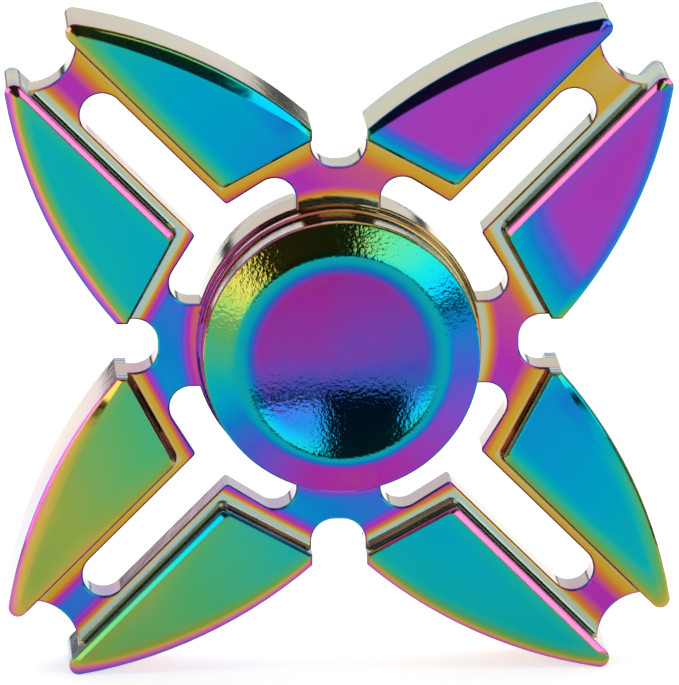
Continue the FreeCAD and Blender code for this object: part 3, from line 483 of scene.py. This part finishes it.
# ------------------------------------------------------------------ ball bearing
# A 608 bearing: two rings and seven balls of hardened chrome steel, ground and lapped.
# The ground tracks and rims give tight streaks round the axis, the balls a clean mirror.
CLOUDS_PER_MM = 0.4
CLOUDED_STEEL = "4A4B4D"
CLEAR_SHARE = {"To Min": 0.75, "To Max": 1.0}
STREAK_DEPTH = 0.00002
STREAK_STRENGTH = 0.3
SMOOTHEST = 0.7
ROUGHEST = 1.5


def turned_steel(name, colour, roughness, streaks_per_mm):
    """Steel with fine turned or pressed streaks round the spin axis, cloudy with handling."""
    material, tree = new_material(name)
    place, radius = place_on_part(tree)
    depth = add_node(tree, "ShaderNodeSeparateXYZ", {0: place}, output="Y")
    track = add_node(tree, "ShaderNodeCombineXYZ", {0: radius, 1: depth})
    lines = add_node(tree, "ShaderNodeTexNoise",
                     {"Vector": track, "Scale": streaks_per_mm, "Detail": 3.0})
    cloud = add_node(tree, "ShaderNodeTexNoise",
                     {"Vector": place, "Scale": CLOUDS_PER_MM, "Detail": 3.0})
    tone = add_node(tree, "ShaderNodeMapRange", {0: cloud, **CLEAR_SHARE})
    base = add_node(tree, "ShaderNodeMix",
                    {0: tone, 6: linear(CLOUDED_STEEL), 7: linear(colour)},
                    output=2, data_type="RGBA")
    gloss = add_node(tree, "ShaderNodeMapRange",
                     {0: lines, "To Min": roughness * SMOOTHEST, "To Max": roughness * ROUGHEST})
    relief = add_node(tree, "ShaderNodeBump",
                      {"Height": lines, "Strength": STREAK_STRENGTH, "Distance": STREAK_DEPTH})
    surface = add_node(tree, "ShaderNodeBsdfPrincipled",
                       {"Base Color": base, "Metallic": 1.0, "Roughness": gloss, "Normal": relief})
    add_node(tree, "ShaderNodeOutputMaterial", {"Surface": surface})
    return material


BALLS = [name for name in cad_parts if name.startswith("ball_")]
give_material(turned_steel("chrome_steel_ground", "C9CACC", 0.16, 9.0),
              "bearing_outer_race", "bearing_inner_race")
give_material(turned_steel("chrome_steel_lapped", "D6D8DA", 0.05, 3.0), *BALLS)

# ------------------------------------------------------------------ cage, shields and snap rings
# The cage and shields are pressed from thin cold-rolled sheet, the snap rings bent from spring wire.
# Pressing leaves a satin face with faint stretch marks; the spring wire is darker and oiled.
give_material(turned_steel("cold_rolled_sheet", "B9BABD", 0.28, 5.0),
              "cage_front_half", "cage_rear_half", "cage_rivets", "shield_front", "shield_rear")
give_material(turned_steel("spring_steel_wire", "8C8E93", 0.3, 7.0),
              "snap_ring_front", "snap_ring_rear")

# ------------------------------------------------------------------ finger caps
# Two dished caps of die-cast zinc, pressed into the bearing's bore from either side.
# They are barrel polished before plating, which leaves a fine orange peel under the rainbow film.

# rings of the cap in millimetres from its axis, then its orange peel, about a third of one across
DISH_EDGE = 7.6
CREST = 9.5
RIM_START = 10.6
PEEL_PER_MM = 2.8
PEEL_DEPTH = 0.000028

# film of the dish per millimetre across and up, and from its middle to its lower edge
DISH_SLOPE = (0.006, 0, -0.012)
DISH_MIDDLE = 0.29
DISH_BOTTOM = 0.45

# film of the crest and of the rim, thickest on one side and again, less, across a second line
CREST_PHASE = 0.62
RIM_PHASE = 0.16
RIM_RISE = 0.74
RIM_RISE_POWER = 1.2
THICK_SIDE = math.radians(115)
SECOND_SIDE = math.radians(150)
SECOND_RISE = 0.08
RIM_EDGE_SHIFT = (0.35, 1.0, 0.0, 0.22)
CAP_WANDER_PER_MM = 0.22
CAP_WANDER = {"To Min": -0.04, "To Max": 0.04}

# painted shade over the dish: its dark colour, and how much of it the dish takes
DISH_SHADE_COLOUR = "1A1430"
DISH_SHADE_SHARE = 0.28
CAP_WALL = "C2C4B8"
CAP_HAZE = {"To Min": 0.05, "To Max": 0.12}


def rim_film(tree, place, lean):
    """Film round the rim: two swells, and a step where the rim turns over its outer edge."""
    outward = add_node(tree, "ShaderNodeVectorMath", {0: place, 1: (1, 0, 1)},
                       operation="MULTIPLY")
    outward = add_node(tree, "ShaderNodeVectorMath", {0: outward}, operation="NORMALIZE")
    turn = add_node(tree, "ShaderNodeVectorMath",
                    {0: outward, 1: (math.cos(THICK_SIDE) / 2, 0, math.sin(THICK_SIDE) / 2)},
                    output="Value", operation="DOT_PRODUCT")
    turn = add_node(tree, "ShaderNodeMath", {0: turn, 1: 0.5}, operation="ADD", use_clamp=True)
    turn = add_node(tree, "ShaderNodeMath", {0: turn, 1: RIM_RISE_POWER}, operation="POWER")
    phase = add_node(tree, "ShaderNodeMath", {0: turn, 1: RIM_RISE, 2: RIM_PHASE},
                     operation="MULTIPLY_ADD")
    second = add_node(tree, "ShaderNodeVectorMath",
                      {0: outward, 1: (math.cos(SECOND_SIDE), 0, math.sin(SECOND_SIDE))},
                      output="Value", operation="DOT_PRODUCT")
    second = add_node(tree, "ShaderNodeMath", {0: second, 1: second}, operation="MULTIPLY")
    phase = add_node(tree, "ShaderNodeMath", {0: second, 1: SECOND_RISE, 2: phase},
                     operation="MULTIPLY_ADD")
    shift = add_node(tree, "ShaderNodeMapRange", {0: lean, **span(*RIM_EDGE_SHIFT)})
    return add_node(tree, "ShaderNodeMath", {0: phase, 1: shift}, operation="ADD")


def rainbow_cap():
    """Plated cap: violet dish, teal ridge, and a rim whose film thickens towards one side."""
    material, tree = new_material("rainbow_plated_cap")
    place, radius = place_on_part(tree)
    peel = add_node(tree, "ShaderNodeTexNoise",
                    {"Vector": place, "Scale": PEEL_PER_MM, "Detail": 2.0})
    shading, lean, _ = rounded_normal(tree, peel, PEEL_DEPTH)

    dish_phase = add_node(tree, "ShaderNodeVectorMath", {0: place, 1: DISH_SLOPE},
                          output="Value", operation="DOT_PRODUCT")
    up = add_node(tree, "ShaderNodeSeparateXYZ", {0: place}, output="Z")
    lower_dish = add_node(tree, "ShaderNodeMapRange",
                          {0: up, **span(0.0, -DISH_EDGE, DISH_MIDDLE, DISH_BOTTOM)})
    dish_phase = add_node(tree, "ShaderNodeMath", {0: dish_phase, 1: lower_dish},
                          operation="ADD")
    to_crest = add_node(tree, "ShaderNodeMapRange", {0: radius, **span(DISH_EDGE, CREST)},
                        interpolation_type="SMOOTHSTEP")
    to_rim = add_node(tree, "ShaderNodeMapRange", {0: radius, **span(CREST, RIM_START)},
                      interpolation_type="SMOOTHSTEP")
    phase = add_node(tree, "ShaderNodeMix", {0: to_crest, 2: dish_phase, 3: CREST_PHASE})
    phase = add_node(tree, "ShaderNodeMix", {0: to_rim, 2: phase, 3: rim_film(tree, place, lean)})
    wander = add_node(tree, "ShaderNodeTexNoise",
                      {"Vector": place, "Scale": CAP_WANDER_PER_MM, "Detail": 2.0})
    wander = add_node(tree, "ShaderNodeMapRange", {0: wander, **CAP_WANDER})
    phase = add_node(tree, "ShaderNodeMath", {0: phase, 1: wander}, operation="ADD")

    # painted shade: the dish is darkened towards a dark navy, fading out across the crest towards the rim
    dish_shade = add_node(tree, "ShaderNodeMapRange",
                     {0: radius, **span(DISH_EDGE, RIM_START, DISH_SHADE_SHARE, 0.0)})
    colour = add_node(tree, "ShaderNodeMix",
                      {0: dish_shade, 6: film_colour(tree, phase), 7: linear(DISH_SHADE_COLOUR)},
                      output=2, data_type="RGBA")
    wall = add_node(tree, "ShaderNodeMapRange", {0: lean, **span(*WALL)})
    colour = add_node(tree, "ShaderNodeMix", {0: wall, 6: colour, 7: linear(CAP_WALL)}, output=2,
                      data_type="RGBA")
    plated_surface(tree, place, colour, CAP_HAZE, shading)
    return material


give_material(rainbow_cap(), "finger_cap_front", "finger_cap_rear")

# ------------------------------------------------------------------ stud
# A zinc-plated set screw that draws the two caps together through the bearing's bore.
# Bright zinc over steel has a faint blue cast and the satin of its plating bath.
give_material(turned_steel("zinc_plated_screw_steel", "BFC6CC", 0.25, 4.0), "cap_stud")

# ------------------------------------------------------------------ table
# A matt white board under the object, wide enough to fill the view and the mirror of the pads.
# It is lit a little from below as well, as a light table is, so its shadows stay faint.
TABLE_HALF = 1.5
TABLE_GLOW = 0.52
TABLE_WHITE = "F2F2F2"


def light_table():
    """Large matt board, level with the two claw tips that the object stands on."""
    shape = bmesh.new()
    bmesh.ops.create_grid(shape, x_segments=1, y_segments=1, size=TABLE_HALF)
    bmesh.ops.translate(shape, vec=(0, 0, cad_box[0].z), verts=shape.verts)
    mesh = bpy.data.meshes.new("light_table")
    shape.to_mesh(mesh)
    shape.free()
    table = bpy.data.objects.new("light_table", mesh)
    bpy.context.scene.collection.objects.link(table)
    material, tree = new_material("matt_white_board")
    surface = add_node(tree, "ShaderNodeBsdfPrincipled",
                       {"Base Color": linear(TABLE_WHITE), "Roughness": 0.9,
                        "Specular IOR Level": 0.0, "Emission Color": (1, 1, 1, 1),
                        "Emission Strength": TABLE_GLOW})
    add_node(tree, "ShaderNodeOutputMaterial", {"Surface": surface})
    mesh.materials.append(material)
    return table


light_table()

# ------------------------------------------------------------------ light
# A white light tent with two softboxes in front of the object and a dark gap round the camera.
# Its left and back are dimmer, with a thin dark line at the horizon behind.
# Each patch is (middle azimuth, half width, lower edge, upper edge, softness) in degrees.
TENT_LIGHT = 1.15
GAP_LIGHT = 0.035
BACK_LIGHT = 0.95
LEFT_LIGHT = 0.6
BOX_LIGHT = 2.6
DARK_FRONT = (3, 62, 0, 64, 3)
DIM_LEFT = (-100, 40, -15, 60, 8)
DIM_BACK = (180, 115, -3, 24, 3)
DARK_HORIZON = (180, 120, -1.5, 2.5, 1)
RIGHT_BOX = (36, 25, 6, 30, 2)
LEFT_BOX = (-46, 20, 1, 24, 2)


def patch(tree, azimuth, elevation, middle, half_width, low, high, soft):
    """1 inside a soft-edged patch of sky and 0 outside it."""
    away = add_node(tree, "ShaderNodeMath",
                    {0: azimuth, 1: math.radians(middle + 180), 2: math.tau},
                    operation="SUBTRACT")
    away = add_node(tree, "ShaderNodeMath", {0: away, 1: math.tau}, operation="FLOORED_MODULO")
    away = add_node(tree, "ShaderNodeMath", {0: away, 1: math.pi}, operation="SUBTRACT")
    away = add_node(tree, "ShaderNodeMath", {0: away}, operation="ABSOLUTE")
    level = add_node(tree, "ShaderNodeMapRange",
                     {0: away, "From Min": math.radians(half_width),
                      "From Max": math.radians(half_width - soft)},
                     interpolation_type="SMOOTHSTEP")
    for edge, inner in ((low, low + soft), (high, high - soft)):
        side = add_node(tree, "ShaderNodeMapRange",
                        {0: elevation, "From Min": math.radians(edge),
                         "From Max": math.radians(inner)}, interpolation_type="SMOOTHSTEP")
        level = add_node(tree, "ShaderNodeMath", {0: level, 1: side}, operation="MULTIPLY")
    return level


def light_tent():
    """World light by direction; the camera itself sees only the plain tent."""
    world = bpy.data.worlds.new("light_tent")
    bpy.context.scene.world = world
    world.use_nodes = True
    tree = world.node_tree
    tree.nodes.clear()
    direction = add_node(tree, "ShaderNodeTexCoord", output="Generated")
    right = add_node(tree, "ShaderNodeSeparateXYZ", {0: direction}, output="X")
    back = add_node(tree, "ShaderNodeSeparateXYZ", {0: direction}, output="Y")
    up = add_node(tree, "ShaderNodeSeparateXYZ", {0: direction}, output="Z")
    forward = add_node(tree, "ShaderNodeMath", {0: back, 1: -1.0}, operation="MULTIPLY")
    azimuth = add_node(tree, "ShaderNodeMath", {0: right, 1: forward}, operation="ARCTAN2")
    elevation = add_node(tree, "ShaderNodeMath", {0: up}, operation="ARCSINE")
    strength = TENT_LIGHT
    for place, light in ((DARK_FRONT, GAP_LIGHT), (DIM_BACK, BACK_LIGHT), (DIM_LEFT, LEFT_LIGHT),
                         (DARK_HORIZON, GAP_LIGHT),
                         (RIGHT_BOX, BOX_LIGHT), (LEFT_BOX, BOX_LIGHT)):
        level = patch(tree, azimuth, elevation, *place)
        strength = add_node(tree, "ShaderNodeMix", {0: level, 2: strength, 3: light})
    seen = add_node(tree, "ShaderNodeLightPath", output="Is Camera Ray")
    strength = add_node(tree, "ShaderNodeMix", {0: seen, 2: strength, 3: TENT_LIGHT})
    sky = add_node(tree, "ShaderNodeBackground", {"Color": (1, 1, 1, 1), "Strength": strength})
    add_node(tree, "ShaderNodeOutputWorld", {"Surface": sky})


light_tent()
bpy.context.scene.view_settings.view_transform = "Standard"

# ------------------------------------------------------------------ camera
# A long lens, a little above the object and a little to its left, aimed just beside the hub's middle.
CAMERA_DISTANCE = 0.881
CAMERA_AZIMUTH = math.radians(-3.26)
CAMERA_ELEVATION = math.radians(12.80)
LENS = 495.6
SENSOR = 36.0
AIM_RIGHT = 0.000215
AIM_DOWN = 0.000374


def studio_camera():
    """Camera on a sphere round the bearing's middle."""
    away = Vector((math.sin(CAMERA_AZIMUTH) * math.cos(CAMERA_ELEVATION),
                   -math.cos(CAMERA_AZIMUTH) * math.cos(CAMERA_ELEVATION),
                   math.sin(CAMERA_ELEVATION)))
    right = Vector((math.cos(CAMERA_AZIMUTH), math.sin(CAMERA_AZIMUTH), 0))
    down = right.cross(away)
    data = bpy.data.cameras.new("studio_camera")
    data.sensor_width = SENSOR
    data.lens = LENS
    data.clip_start = 0.01
    data.clip_end = 20
    camera = bpy.data.objects.new("studio_camera", data)
    bpy.context.scene.collection.objects.link(camera)
    camera.location = away * CAMERA_DISTANCE
    aim = right * AIM_RIGHT + down * AIM_DOWN
    camera.rotation_mode = "QUATERNION"
    camera.rotation_quaternion = (aim - camera.location).to_track_quat("-Z", "Y")
    bpy.context.scene.camera = camera


studio_camera()
